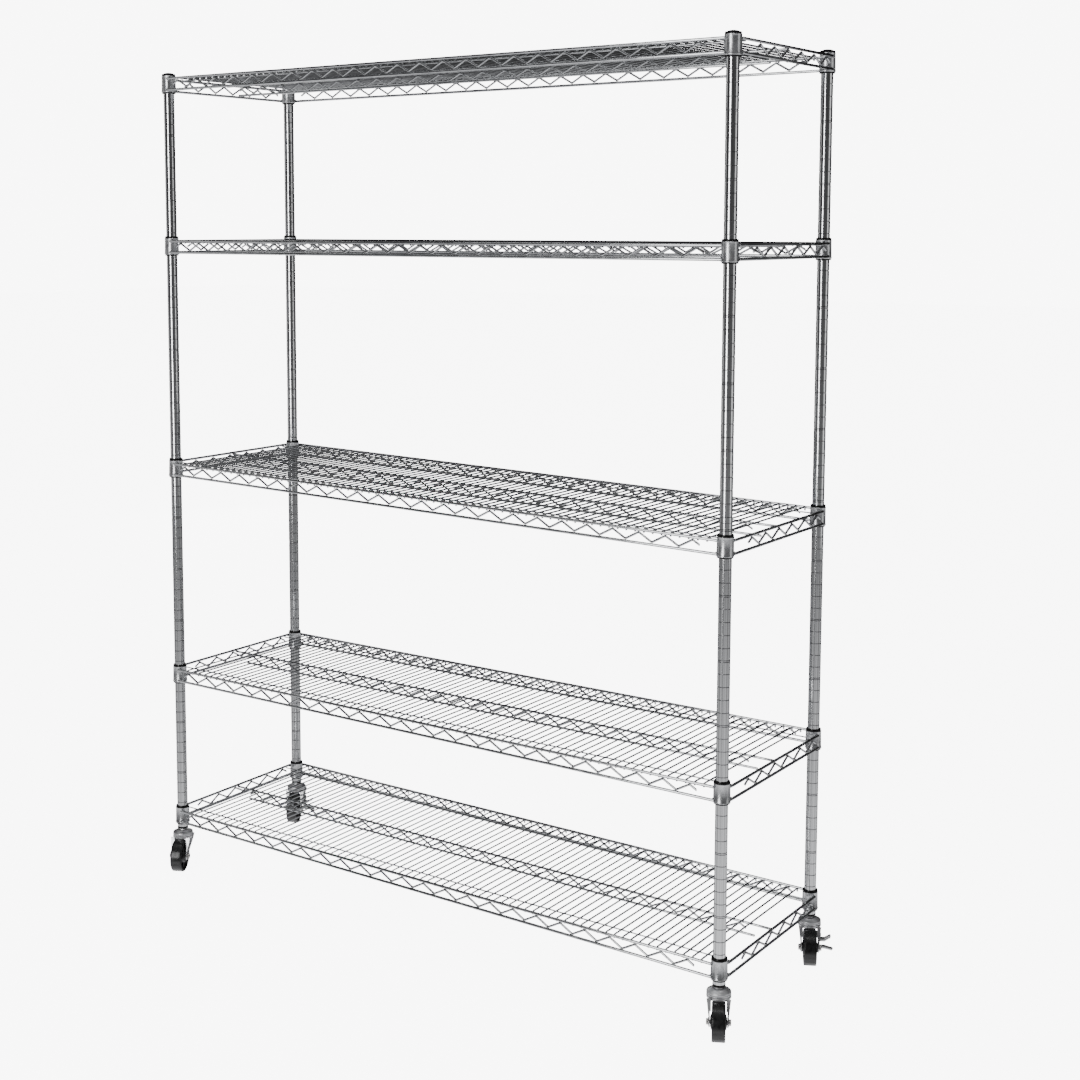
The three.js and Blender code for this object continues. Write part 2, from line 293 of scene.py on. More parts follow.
def close_up(piece: Piece) -> None:
    """Merge doubled points, turn the faces outwards and leave edit mode."""
    bpy.ops.mesh.select_mode(type="VERT")
    pick_all()
    bpy.ops.mesh.remove_doubles(threshold=2e-6)
    bpy.ops.mesh.normals_make_consistent(inside=False)
    bpy.ops.object.mode_set(mode="OBJECT")


def soften(piece: Piece, degrees: float = 42.0) -> Piece:
    """Shade a piece smooth where its faces meet at less than an angle.

    Args:
        piece: The piece to shade.
        degrees: Angle past which an edge stays sharp.

    Returns:
        The same piece.
    """
    take_up(piece)
    bpy.ops.object.shade_smooth_by_angle(angle=math.radians(degrees))
    return piece


def point_chain(points: Sequence[tuple[float, float]]) -> Piece:
    """Draw an open chain of points in the XZ plane and stay in edit mode.

    Args:
        points: X and Z of each point, in millimetres.

    Returns:
        The object being edited.
    """
    clear_bench()
    bpy.ops.mesh.primitive_plane_add(size=2 * MM, location=(0, 0, 0))
    piece = bpy.context.object
    bpy.ops.object.mode_set(mode="EDIT")
    bpy.ops.mesh.select_mode(type="VERT")
    pick_all()
    bpy.ops.mesh.merge(type="CENTER")
    bpy.ops.transform.translate(value=vec(points[0][0], 0, points[0][1]))
    for (x0, z0), (x1, z1) in zip(points, points[1:]):
        step = vec(x1 - x0, 0, z1 - z0)
        bpy.ops.mesh.extrude_vertices_move(TRANSFORM_OT_translate={"value": step})
    pick_all()
    return piece


def turned(
    name: str, profile: Sequence[tuple[float, float]], sides: int = 32, arc: float = 360.0
) -> Piece:
    """Turn a profile about the upright axis through the origin.

    Args:
        name: Name of the piece.
        profile: Radius and height of each point, in millimetres.
        sides: Steps of the turn.
        arc: Degrees turned; under 360 the profile is a closed outline with filled ends.

    Returns:
        The turned piece, smooth shaded.
    """
    piece = point_chain(profile)
    if arc < 360:
        bpy.ops.mesh.edge_face_add()
        pick_all()
    bpy.ops.mesh.spin(
        steps=sides, angle=math.radians(arc), center=(0, 0, 0), axis=(0, 0, 1)
    )
    close_up(piece)
    piece.name = name
    return soften(piece, 35)


def plate(
    name: str, outline: Sequence[tuple[float, float]], middle: float, thick: float,
    edge: float = 0.5,
) -> Piece:
    """Cut a flat plate in the XZ plane and round its edges over.

    Args:
        name: Name of the piece.
        outline: X and Z of the corners, in millimetres.
        middle: Y of the plate's middle.
        thick: Its thickness along Y.
        edge: Radius of the rounded edges.

    Returns:
        The plate.
    """
    piece = point_chain(outline)
    bpy.ops.mesh.edge_face_add()
    bpy.ops.transform.translate(value=vec(0, middle - thick / 2, 0))
    pull(vec(0, thick, 0))
    pick_all()
    bpy.ops.mesh.normals_make_consistent(inside=False)
    pick_faces(piece, lambda face: len(face.verts) > 4)
    bpy.ops.mesh.bevel(offset=edge * MM, segments=2, affect="EDGES")
    close_up(piece)
    piece.name = name
    return soften(piece)


@dataclass(frozen=True)
class Run:
    """A straight length of wire, in millimetres."""

    length: float


@dataclass(frozen=True)
class Bend:
    """A bend of a wire: centre line radius, turn in degrees, and the axis it turns about."""

    radius: float
    turn: float
    about: tuple[float, float, float]
    steps: int = 3


def wire(
    name: str,
    start: Vector,
    heading: Vector,
    moves: Iterable[Run | Bend],
    thick: float,
    sides: int = 8,
    ends: float = 0.0,
) -> Piece:
    """Draw round wire: a disc pulled along straight runs and spun round bends.

    Args:
        name: Name of the piece.
        start: Where the wire begins, in metres.
        heading: Direction it sets off in.
        moves: Its runs and bends in order.
        thick: Diameter in millimetres.
        sides: Sides of its section.
        ends: Rounding of its two ends in millimetres.

    Returns:
        The closed wire.
    """
    clear_bench()
    way = heading.normalized()
    bpy.ops.mesh.primitive_circle_add(
        vertices=sides, radius=thick / 2 * MM, fill_type="NGON", location=start,
        rotation=way.to_track_quat("Z", "Y").to_euler(),
    )
    piece = bpy.context.object
    bpy.ops.object.transform_apply(location=True, rotation=True, scale=True)
    bpy.ops.object.mode_set(mode="EDIT")
    bpy.ops.mesh.select_mode(type="FACE")
    place = start.copy()
    for move in moves:
        if isinstance(move, Run):
            step = way * move.length * MM
            pull(step)
            place += step
            continue
        about = Vector(move.about).normalized()
        centre = place + about.cross(way) * move.radius * MM
        # Spin turns the left-handed way, so it gets the opposite axis.
        bpy.ops.mesh.spin(
            steps=move.steps, angle=math.radians(move.turn), center=centre, axis=-about
        )
        turn = Quaternion(about, math.radians(move.turn))
        place = centre + turn @ (place - centre)
        way = turn @ way
    if ends:
        pick_all()
        bpy.ops.mesh.normals_make_consistent(inside=False)
        pick_faces(piece, lambda face: len(face.verts) > 4)
        bpy.ops.mesh.bevel(offset=ends * MM, segments=2, affect="EDGES")
    close_up(piece)
    piece.name = name
    return soften(piece, 50)


def straight_rod(name: str, start: Vector, end: Vector, thick: float, sides: int = 12) -> Piece:
    """A straight rod between two points with rounded ends.

    Args:
        name: Name of the piece.
        start: One end, in metres.
        end: The other end, in metres.
        thick: Diameter in millimetres.
        sides: Sides of its section.

    Returns:
        The rod.
    """
    along = end - start
    return wire(name, start, along, [Run(along.length / MM)], thick, sides, thick * 0.16)


def repeated(piece: Piece, count: int, step: Vector, fuse: bool = False) -> Piece:
    """Repeat a piece in a row.

    Args:
        piece: The piece modelled once.
        count: How many there are in all.
        step: From one to the next, in metres.
        fuse: Whether neighbours are merged where they touch.

    Returns:
        The same piece, now the whole row.
    """
    take_up(piece)
    row = piece.modifiers.new("row", "ARRAY")
    row.count = count
    row.use_relative_offset = False
    row.use_constant_offset = True
    row.constant_offset_displace = step
    row.use_merge_vertices = fuse
    row.merge_threshold = 0.05 * MM
    bpy.ops.object.modifier_apply(modifier=row.name)
    return piece


def copied(piece: Piece, name: str, place: Matrix) -> Piece:
    """Copy a piece with its own mesh and fix it at a place.

    Args:
        piece: The piece to copy.
        name: Name of the copy.
        place: Where the copy goes, from the piece's own place.

    Returns:
        The copy, with its place in its mesh.
    """
    take_up(piece)
    bpy.ops.object.duplicate(linked=False)
    new = bpy.context.object
    new.name = name
    new.matrix_world = place
    bpy.ops.object.transform_apply(location=True, rotation=True, scale=True)
    return new


def moved(piece: Piece, name: str, place: Matrix) -> Piece:
    """Take a piece to a place and leave nothing where it was.

    Args:
        piece: The piece, which is used up.
        name: Its new name.
        place: Where it goes, from its own place.

    Returns:
        The piece at its new place.
    """
    new = copied(piece, name, place)
    discard([piece])
    return new


def joined(name: str, pieces: Sequence[Piece]) -> Piece:
    """Join several shapes into one piece.

    Args:
        name: Name of the whole.
        pieces: The shapes, at least one.

    Returns:
        The joined piece.
    """
    take_up(pieces[0])
    for piece in pieces[1:]:
        piece.select_set(True)
    if len(pieces) > 1:
        bpy.ops.object.join()
    whole = bpy.context.view_layer.objects.active
    whole.name = name
    return whole


def discard(pieces: Iterable[Piece]) -> None:
    """Take the patterns that were only copied off the bench."""
    clear_bench()
    for piece in pieces:
        piece.select_set(True)
    bpy.ops.object.delete()


def dress(piece: Piece, finish: Finish, slot: Slot, body: str, *nodes: str) -> None:
    """Give a piece its finish and the body it moves with.

    Args:
        piece: The finished piece.
        finish: Its surface.
        slot: Not used.
        body: CAD body it rides on.
        nodes: CAD nodes that it stands for.
    """
    piece.data.materials.clear()
    piece.data.materials.append(finish.build())
    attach(piece, body)
    if nodes:
        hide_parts(*nodes)


def middle_of(node: str) -> Vector:
    """Middle of a CAD node's box."""
    low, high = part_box(node)
    return (low + high) / 2


# ---- posts ------------------------------------------------------------------
@dataclass
class GroovedPosts:
    """Four tube posts, each of two halves grooved every inch, with caps and bushings."""

    radius: float = 12.7
    length: float = 36 * INCH
    first_groove: float = 0.453 * INCH
    grooves: int = 36
    groove_half: float = 0.95
    groove_depth: float = 0.7
    double_every: int = 5
    double_gap: float = 3.2
    sides: int = 32
    patterns: dict[str, Piece] = field(default_factory=dict)

    def half_profile(self) -> list[tuple[float, float]]:
        """Outline of one post half with its single and double grooves.

        Returns:
            Radius and height of each point, from the lower end up.
        """
        top = self.length - 0.12
        points = [(0, 0), (self.radius - 0.5, 0), (self.radius, 0.5)]
        for index in range(self.grooves):
            height = self.first_groove + index * INCH
            double = index and index % self.double_every == 0
            offsets = (-self.double_gap / 2, self.double_gap / 2) if double else (0.0,)
            for offset in offsets:
                middle = height + offset
                floor_half = self.groove_half * 0.4
                points += [
                    (self.radius, middle - self.groove_half),
                    (self.radius - self.groove_depth, middle - floor_half),
                    (self.radius - self.groove_depth, middle + floor_half),
                    (self.radius, middle + self.groove_half),
                ]
        return points + [(self.radius, top - 0.5), (self.radius - 0.5, top), (0, top)]

    def build(self) -> None:
        """Model one post half, one cap and one bushing."""
        self.patterns["half"] = turned("post_half", self.half_profile(), self.sides)
        self.patterns["cap"] = turned("cap", [
            (0, -12), (10.4, -12), (10.6, -0.1), (12.6, 0.1), (12.85, 0.5), (12.85, 1.9),
            (12.5, 2.9), (11.4, 3.9), (9.4, 4.8), (6.6, 5.5), (3.4, 5.95), (0, 6.1),
        ], self.sides)
        self.patterns["bushing"] = turned("bushing", [
            (8.3, -4.5), (12.5, -4.5), (13.1, -4.0), (13.1, -0.5), (12.8, -0.1), (10.7, -0.1),
            (10.7, 20), (8.3, 20), (8.3, -4.5),
        ], self.sides)

    def paint_groove_shade(self, piece: Piece, axis: Vector) -> None:
        """Paint shade on the floors of the grooves with a darker, rougher chrome.

        Args:
            piece: A placed post half.
            axis: A point on its middle line.
        """
        # The second slot carries the painted groove shade.
        piece.data.materials.append(GROOVE_SHADE_CHROME.build())
        take_up(piece)
        bpy.ops.object.mode_set(mode="EDIT")
        limit = (self.radius - self.groove_depth * 0.3) * MM

        def in_groove(face: Face) -> bool:
            """Whether a face lies below the tube's surface and is no end face."""
            middle = face.calc_center_median() - axis
            return abs(face.normal.z) < 0.95 and math.hypot(middle.x, middle.y) < limit

        pick_faces(piece, in_groove)
        piece.active_material_index = 1
        bpy.ops.object.material_slot_assign()
        bpy.ops.object.mode_set(mode="OBJECT")
        piece.active_material_index = 0

    def place(self) -> None:
        """Copy the pieces to the four corners and dress them."""
        for corner in CORNERS:
            low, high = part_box(f"post_lower_{corner}")
            foot = Vector(((low.x + high.x) / 2, (low.y + high.y) / 2, low.z))
            upper = foot + vec(0, 0, self.length)
            top = foot + vec(0, 0, 2 * self.length)
            rows = [
                ("half", f"lower_{corner}", foot, POST_CHROME, Slot.POST, f"post_lower_{corner}"),
                ("half", f"upper_{corner}", upper, POST_CHROME, Slot.POST, f"post_upper_{corner}"),
                ("cap", f"end_cap_{corner}", top, BLACK_PLASTIC, Slot.CAP, f"cap_{corner}"),
                ("bushing", f"foot_ring_{corner}", foot, BLACK_PLASTIC, Slot.BUSHING,
                 f"bushing_{corner}"),
            ]
            for pattern, name, spot, finish, slot, node in rows:
                piece = copied(self.patterns[pattern], name, Matrix.Translation(spot))
                dress(piece, finish, slot, "posts", node)
                if pattern == "half":
                    self.paint_groove_shade(piece, spot)
        discard(self.patterns.values())
        log.info("posts: 8 halves, 4 caps, 4 foot rings")


# ---- shelves ----------------------------------------------------------------
@dataclass
class WireShelf:
    """One welded wire shelf, modelled about its own middle at its top rods' height."""

    pitch_x: float
    pitch_y: float
    rim_offset: float = 15.0
    rim_end: float = 9.0
    rod: float = 6.35
    drop: float = 26.5
    web: float = 5.0
    web_pitch: float = 59.8
    side_pitch: float = 59.3
    long_start: float = 46.0
    side_start: float = 81.7
    long_peaks: int = 24
    side_peaks: int = 6
    bend_radius: float = 5.0
    centre_rod: float = 5.6
    centre_height: float = -3.4
    centre_stop: float = 40.0
    edge_wire: float = 3.4
    edge_inset: float = 26.0
    cross_wire: float = 4.2
    cross_height: float = 0.9
    cross_count: int = 72
    cross_pitch: float = 19.94

    @property
    def rim_x(self) -> float:
        """Half length to the side rods' centre lines."""
        return self.pitch_x / 2 + self.rim_offset

    @property
    def rim_y(self) -> float:
        """Half depth to the long rods' centre lines."""
        return self.pitch_y / 2 + self.rim_offset

    def leg(self, half_pitch: float, height: float) -> tuple[float, float]:
        """Slope and straight length of a zigzag's legs.

        Args:
            half_pitch: Along the web from a peak to the next trough.
            height: Between the centre lines of peaks and troughs.

        Returns:
            Slope in degrees and straight length in millimetres.
        """
        low, high = 1.0, 85.0
        for _ in range(50):
            slope = (low + high) / 2
            angle = math.radians(slope)
            run = (half_pitch - 2 * self.bend_radius * math.sin(angle)) / math.cos(angle)
            rise = run * math.sin(angle) + 2 * self.bend_radius * (1 - math.cos(angle))
            if rise < height:
                low = slope
            else:
                high = slope
        return slope, run

    def zigzag(
        self, name: str, along: Vector, start: Vector, pitch: float, peaks: int, height: float,
        thick: float,
    ) -> Piece:
        """Bend one period of zigzag wire, repeat it and cut it after the last peak.

        Args:
            name: Name of the web.
            along: Direction the web runs in.
            start: Its free end at half height, in metres.
            pitch: From one peak to the next.
            peaks: How many upper bends it has.
            height: Between the centre lines of peaks and troughs.
            thick: Wire diameter.

        Returns:
            The web.
        """
        slope, run = self.leg(pitch / 2, height)
        lift = Vector((0, 0, 1))
        side = along.cross(lift)
        angle = math.radians(slope)
        heading = along * math.cos(angle) + lift * math.sin(angle)
        over = Bend(self.bend_radius, 2 * slope, tuple(-side), 4)
        under = Bend(self.bend_radius, 2 * slope, tuple(side), 4)
        web = wire(
            name, start, heading, [Run(run / 2), over, Run(run), under, Run(run / 2)], thick, 8
        )
        take_up(web)
        bpy.ops.object.mode_set(mode="EDIT")
        pick_faces(web, lambda face: len(face.verts) > 4)
        bpy.ops.mesh.delete(type="ONLY_FACE")
        bpy.ops.object.mode_set(mode="OBJECT")
        repeated(web, peaks, along * pitch * MM, fuse=True)
        take_up(web)
        bpy.ops.object.mode_set(mode="EDIT")
        bpy.ops.mesh.select_mode(type="VERT")
        pick_all()
        cut = start + along * (peaks - 0.5) * pitch * MM
        bpy.ops.mesh.bisect(
            plane_co=cut, plane_no=along, use_fill=True, clear_outer=True, clear_inner=False
        )
        pick_all()
        bpy.ops.mesh.fill_holes(sides=16)
        close_up(web)
        return soften(web, 50)

    def rims(self) -> Piece:
        """Upper and lower rods of all four sides.

        Returns:
            The rods joined as one piece.
        """
        reach_x = self.pitch_x / 2 - self.rim_end
        reach_y = self.pitch_y / 2 - self.rim_end
        pattern = {
            "long": straight_rod("long_rod", vec(-reach_x, 0, 0), vec(reach_x, 0, 0), self.rod),
            "side": straight_rod("side_rod", vec(0, -reach_y, 0), vec(0, reach_y, 0), self.rod),
        }
        rods = []
        for height in (0.0, -self.drop):
            for way in (-1, 1):
                rods.append(copied(
                    pattern["long"], "rod", Matrix.Translation(vec(0, way * self.rim_y, height))))
                rods.append(copied(
                    pattern["side"], "rod", Matrix.Translation(vec(way * self.rim_x, 0, height))))
        discard(pattern.values())
        return joined("shelf_rods", rods)

    def webs(self) -> Piece:
        """Zigzag webs of all four sides, as one piece."""
        height = self.drop - self.rod - self.web
        middle = -self.drop / 2
        x0 = -self.pitch_x / 2 + self.long_start - self.web_pitch / 4
        y0 = -self.pitch_y / 2 + self.side_start - self.side_pitch / 4
        long_web = self.zigzag(
            "long_web", Vector((1, 0, 0)), vec(x0, -self.rim_y, middle), self.web_pitch,
            self.long_peaks, height, self.web)
        side_web = self.zigzag(
            "side_web", Vector((0, 1, 0)), vec(self.rim_x, y0, middle), self.side_pitch,
            self.side_peaks, height, self.web)
        back = copied(long_web, "back_web", Matrix.Translation(vec(0, 2 * self.rim_y, 0)))
        left = copied(side_web, "left_web", Matrix.Translation(vec(-2 * self.rim_x, 0, 0)))
        return joined("shelf_webs", [long_web, side_web, back, left])

    def centre(self) -> Piece:
        """Truss under the middle of the deck, with the two single edge wires.

        Returns:
            The rods and the web joined as one piece.
        """
        reach = self.rim_x - self.rod / 2 + 1
        low = self.centre_height - self.drop + 3
        stop = reach - self.centre_stop
        edge_y = self.pitch_y / 2 - self.edge_inset
        edge_z = self.cross_height - self.cross_wire
        x0 = -self.pitch_x / 2 + self.long_start - self.web_pitch / 4
        web_height = self.drop - 3 - self.centre_rod - self.web + 0.6
        web = self.zigzag(
            "centre_web", Vector((1, 0, 0)), vec(x0, 0, (self.centre_height + low) / 2),
            self.web_pitch, self.long_peaks, web_height, self.web - 0.4)
        lengthwise = [
            ("top", reach, 0, self.centre_height, self.centre_rod, 10),
            ("low", stop, 0, low, self.centre_rod, 10),
            ("edge_front", reach, -edge_y, edge_z, self.edge_wire, 8),
            ("edge_back", reach, edge_y, edge_z, self.edge_wire, 8),
        ]
        rods = [
            straight_rod(name, vec(-half, y, z), vec(half, y, z), thick, sides)
            for name, half, y, z, thick, sides in lengthwise
        ]
        return joined("shelf_truss", [web, *rods])

    def crossings(self) -> Piece:
        """The close row of wires over the deck, their ends bent down inside the rim."""
        inner = self.rim_y - self.rod / 2 - self.cross_wire / 2 - 0.05
        bend, tail = 3.0, 4.2
        down = Bend(bend, 90, (-1, 0, 0), 2)
        span = 2 * inner - 2 * bend
        x0 = -(self.cross_count - 1) / 2 * self.cross_pitch
        start = vec(x0, -inner, self.cross_height - bend - tail)
        row = wire(
            "shelf_wires", start, Vector((0, 0, 1)),
            [Run(tail), down, Run(span), down, Run(tail)],
            self.cross_wire, 6)
        return repeated(row, self.cross_count, vec(self.cross_pitch, 0, 0))

    def collar(self) -> Piece:
        """One tapered corner collar with rolled rims."""
        return turned("collar", [
            (15.4, -30.6), (15.9, -31.2), (17.0, -31.2), (17.6, -30.6), (17.7, -29.6),
            (17.35, -28.6), (17.0, -27.8), (16.35, 4.2), (16.5, 4.9), (16.75, 5.6), (16.7, 6.5),
            (16.2, 7.1), (15.0, 7.1), (14.5, 6.6), (15.4, -30.6),
        ], 36)

    def bead(self) -> Piece:
        """One short weld bead, lying along X."""
        upright = turned("upright_bead", [
            (0, -4.6), (1.2, -4.0), (1.9, -2.6), (1.7, -1.4), (2.2, -0.2), (1.9, 1.4), (2.1, 2.4),
            (1.3, 3.9), (0, 4.6),
        ], 8)
        return moved(upright, "lying_bead", Matrix.Rotation(math.pi / 2, 4, "Y"))

    def beads(self) -> Piece:
        """Weld beads where the rods meet the collars, as one piece."""
        lying = self.bead()
        made = []
        for sx in (-1, 1):
            for sy in (-1, 1):
                for height in (-2.4, -self.drop + 2.4):
                    spot = vec(sx * (self.pitch_x / 2 - 10.5), sy * (self.rim_y - 2.2), height)
                    made.append(copied(lying, "bead", Matrix.Translation(spot)))
                    spot = vec(sx * (self.rim_x - 2.2), sy * (self.pitch_y / 2 - 10.5), height)
                    turn = Matrix.Rotation(math.pi / 2, 4, "Z")
                    made.append(copied(lying, "bead", Matrix.Translation(spot) @ turn))
        discard([lying])
        return joined("shelf_welds", made)


@dataclass
class ShelfSet:
    """Five wire shelves at their heights, with the split sleeves that hold them."""

    sleeve_middle: float = -12.5
    slit: float = 3.0

    def sleeve(self) -> Piece:
        """One pair of tapered half sleeves with a lip and an inner rib."""
        arc = 180 - self.slit
        half = turned("sleeve_half", [
            (13.0, -34.4), (15.4, -34.4), (16.1, -33.8), (16.1, -32.0), (15.1, -31.0), (14.3, 5.6),
            (15.9, 7.3), (16.0, 10.4), (15.3, 11.6), (13.0, 11.8),
        ], 18, arc)
        # Centred so that the two slits face front and back.
        halves = [
            copied(half, "half", Matrix.Rotation(math.radians(start - self.slit / 2), 4, "Z"))
            for start in (90, 270)
        ]
        discard([half])
        return joined("sleeve_pair", halves)

    def seat_of(self, shelf: int) -> Matrix:
        """Where a shelf sits, from the CAD sleeves at its corners.

        Args:
            shelf: Its number from the top.

        Returns:
            Place of the shelf's middle, at its top rods' height.
        """
        seats = {corner: middle_of(f"sleeve_{shelf}_{corner}") for corner in CORNERS}
        middle = sum(seats.values(), Vector()) / len(seats)
        fall = seats["front_left"].z - seats["front_right"].z
        tilt = math.atan2(fall, seats["front_right"].x - seats["front_left"].x)
        return (Matrix.Translation(middle) @ Matrix.Rotation(tilt, 4, "Y")
                @ Matrix.Translation(vec(0, 0, -self.sleeve_middle)))

    def build(self) -> None:
        """Model one shelf and one sleeve, copy them to their places and dress them."""
        left, right = middle_of("post_lower_front_left"), middle_of("post_lower_front_right")
        back = middle_of("post_lower_back_left")
        shelf = WireShelf((right.x - left.x) / MM, (back.y - left.y) / MM)
        parts = [
            ("rods", shelf.rims(), WIRE_CHROME), ("webs", shelf.webs(), WIRE_CHROME),
            ("truss", shelf.centre(), WIRE_CHROME), ("wires", shelf.crossings(), WIRE_CHROME),
            ("welds", shelf.beads(), WELD_CHROME),
        ]
        collar, sleeve = shelf.collar(), self.sleeve()
        corners = {
            name: vec((1 if "right" in name else -1) * shelf.pitch_x / 2,
                      (1 if "back" in name else -1) * shelf.pitch_y / 2, 0)
            for name in CORNERS
        }
        for number in SHELVES:
            seat = self.seat_of(number)
            body = f"shelf_{number}"
            for kind, pattern, finish in parts:
                piece = copied(pattern, f"tier_{number}_{kind}", seat)
                dress(piece, finish, Slot.SHELF, body, *([body] if kind == "rods" else []))
            for name, spot in corners.items():
                place = seat @ Matrix.Translation(spot)
                piece = copied(collar, f"collar_{number}_{name}", place)
                dress(piece, COLLAR_CHROME, Slot.SHELF, body)
                piece = copied(sleeve, f"sleeves_{number}_{name}", place)
                dress(piece, BLACK_PLASTIC, Slot.SLEEVE, "posts", f"sleeve_{number}_{name}")
            log.info("shelf %d: %d deck wires, 4 collars and sleeves", number, shelf.cross_count)
        discard([collar, sleeve, *[pattern for _, pattern, _ in parts]])


# ---- casters ----------------------------------------------------------------
@dataclass
class Casters:
    """Four swivel casters, modelled trailing along X with the swivel axis upright."""

    trail: float = 28.0
    wheel_radius: float = 38.0
    tread_half: float = 13.4
    leg_inner: float = 17.1
    leg_thick: float = 2.3
    spokes: int = 6
    brake_pivot: Vector = field(default_factory=lambda: vec(14, 0, 62))
    patterns: dict[str, Piece] = field(default_factory=dict)

    @property
    def axle_place(self) -> Vector:
        """Middle of the wheel."""
        return vec(self.trail, 0, self.wheel_radius)

    def stem(self) -> Piece:
        """Stem, dust cap and upper ball race with its parting line."""
        race = turned("race", [
            (0, 75.6), (6.8, 75.6), (8, 76.6), (8, 78.6), (5, 78.8), (5, 83.1), (22.4, 83.1),
            (24.2, 83.5), (24.7, 84.4), (24.6, 85.6), (22.9, 86.0), (22.8, 87.2), (24.3, 87.6),
            (24.5, 88.8), (24.0, 90.1), (21.4, 91.4), (18.4, 93.0), (16.2, 94.1), (15.2, 95.2),
            (13.6, 96.0), (8.4, 96.2), (8.0, 96.6), (8.0, 141.5), (7.4, 142), (0, 142),
        ], 36)
        nut = self.hexagon("stem_nut", 10.6, 96.1, 99.3)
        return joined("caster_race", [race, nut])

    @staticmethod
    def hexagon(name: str, radius: float, low: float, high: float) -> Piece:
        """A hexagon nut with chamfered corners, its axis upright.

        Args:
            name: Name of the piece.
            radius: Across its corners, halved.
            low: Height of its lower face.
            high: Height of its upper face.

        Returns:
            The nut.
        """
        clear_bench()
        bpy.ops.mesh.primitive_cylinder_add(
            vertices=6, radius=radius * MM, depth=(high - low) * MM,
            location=vec(0, 0, (high + low) / 2))
        nut = bpy.context.object
        bpy.ops.object.transform_apply(location=True, rotation=True, scale=True)
        bpy.ops.object.mode_set(mode="EDIT")
        pick_faces(nut, lambda face: abs(face.normal.z) > 0.9)
        bpy.ops.mesh.inset(thickness=radius * 0.16 * MM, depth=radius * 0.05 * MM)
        pick_all()
        bpy.ops.mesh.bevel(offset=0.25 * MM, segments=2, affect="EDGES")
        close_up(nut)
        nut.name = name
        return soften(nut, 35)

    def fork(self, braked: bool) -> Piece:
        """Pressed fork: domed crown with a rolled skirt, and two tapered legs.

        Args:
            braked: Whether the fork carries a brake lever on one leg.

        Returns:
            The fork.
        """
        crown = turned("crown", [
            (5.6, 79.5), (19.5, 79.5), (21.2, 78.6), (21.4, 76.8), (24.0, 76.4), (24.7, 77.8),
            (24.7, 80.6), (23.4, 82.3), (20.0, 82.6), (7.0, 82.6), (5.6, 82.2), (5.6, 79.5),
        ], 36)
        outline = [
            (-15.5, 81.5), (-15.8, 78), (-13.6, 73.5), (-8.5, 67.5), (-1, 60), (7, 52), (14, 44.5),
            (17.6, 39.5), (18.6, 35.5), (20, 31.8), (23.4, 28.6), (28, 27.3), (32.6, 28.5),
            (36.3, 31.8), (37.6, 36.5), (36.8, 42), (33.6, 50), (29.4, 59.5), (25.2, 69.5),
            (22.6, 76), (21.6, 81.5),
        ]
        middle = self.leg_inner + self.leg_thick / 2
        pieces = [crown]
        for side in (-1, 1):
            pieces.append(plate("leg", outline, side * middle, self.leg_thick, 0.7))
            bead = plate("rib", [
                (-4, 73), (4, 76), (16, 73.5), (24, 58), (29.5, 45), (28, 43.4), (26.4, 44.6),
                (19, 58), (11, 66), (2, 70),
            ], side * (middle + 1.1), 1.1, 0.45)
            pieces.append(bead)
            web_face, near_tread = self.leg_inner + 0.6, self.tread_half + 1.5
            pieces += [
                self.flange(outline[:8], side, web_face, 8.0),
                self.flange(outline[15:], side, web_face, 8.0),
                self.flange(outline[17:], side, near_tread, web_face - near_tread),
            ]
        if braked:
            boss = self.lying(turned("boss", [
                (0, 16.6), (5.4, 16.6), (5.4, 14.6), (4.6, 13.9), (0, 13.9)], 16))
            pieces.append(moved(boss, "boss_in_place", Matrix.Translation(self.brake_pivot)))
        return joined("fork", pieces)

    @staticmethod
    def flange(
        edge: Sequence[tuple[float, float]], side: int, start: float, reach: float
    ) -> Piece:
        """Stiffening flange turned over along one edge of a leg, tapering to the axle.

        Args:
            edge: Points of the leg's edge, X and Z.
            side: Which leg, -1 or 1.
            start: Y at which the flange starts.
            reach: How far it reaches outwards before it is tapered.

        Returns:
            The flange.
        """
        piece = point_chain(edge)
        root = side * start
        bpy.ops.transform.translate(value=vec(0, root, 0))
        pull(vec(0, side * reach, 0))
        pick_all()
        bpy.ops.mesh.bisect(
            plane_co=vec(0, root + side * 6.2, 80), plane_no=(0, side * 0.99, -0.13),
            clear_outer=True, clear_inner=False)
        close_up(piece)
        take_up(piece)
        wall = piece.modifiers.new("wall", "SOLIDIFY")
        wall.thickness = 1.6 * MM
        wall.offset = 0
        bpy.ops.object.modifier_apply(modifier=wall.name)
        return soften(piece)

    @staticmethod
    def lying(piece: Piece) -> Piece:
        """Lay an upright turned piece down, so that its axis runs along Y."""
        return moved(piece, piece.name + "_laid", Matrix.Rotation(-math.pi / 2, 4, "X"))

